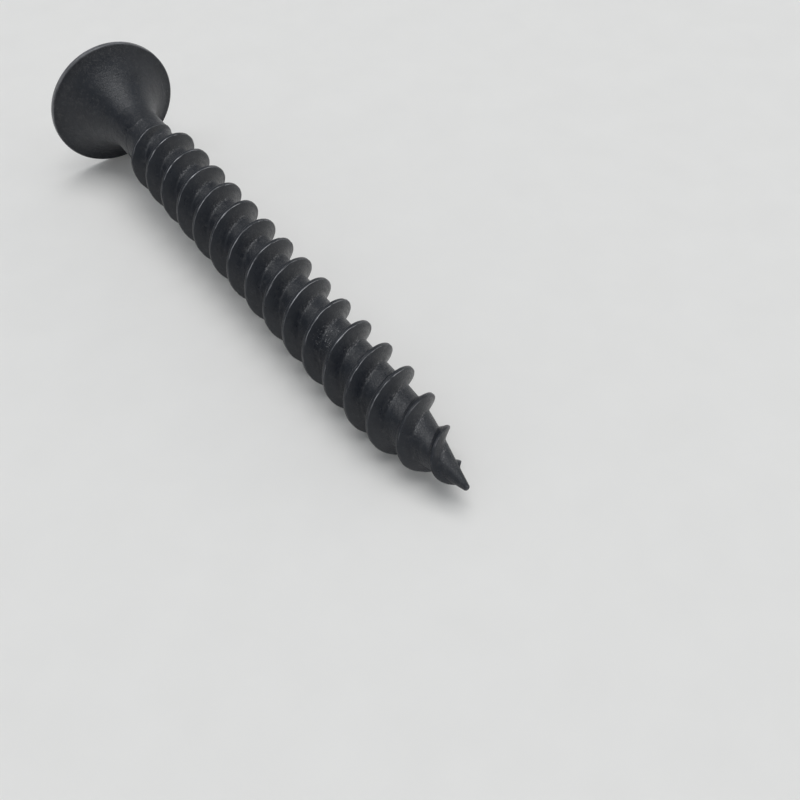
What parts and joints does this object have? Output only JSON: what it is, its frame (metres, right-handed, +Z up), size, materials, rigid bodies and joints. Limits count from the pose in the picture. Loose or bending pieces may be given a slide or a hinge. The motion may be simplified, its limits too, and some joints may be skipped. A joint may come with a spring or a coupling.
{
  "type": "wood screw",
  "caption": "Twin-start wood screw with a bugle head, cross recess, sharp point and black phosphate finish.",
  "frame": {"origin": "on the screw's axis at mid-length, the centre of its bounding box", "axes": "+X along the axis from the head to the point, +Z up with the screw lying on its side"},
  "size_m": [0.038, 0.0082, 0.0082],
  "materials": {
    "black_phosphate": "black phosphate on steel with a thin film of oil, satin"
  },
  "bodies": {
    "root": {"screw": "black_phosphate"}
  },
  "joints": []
}
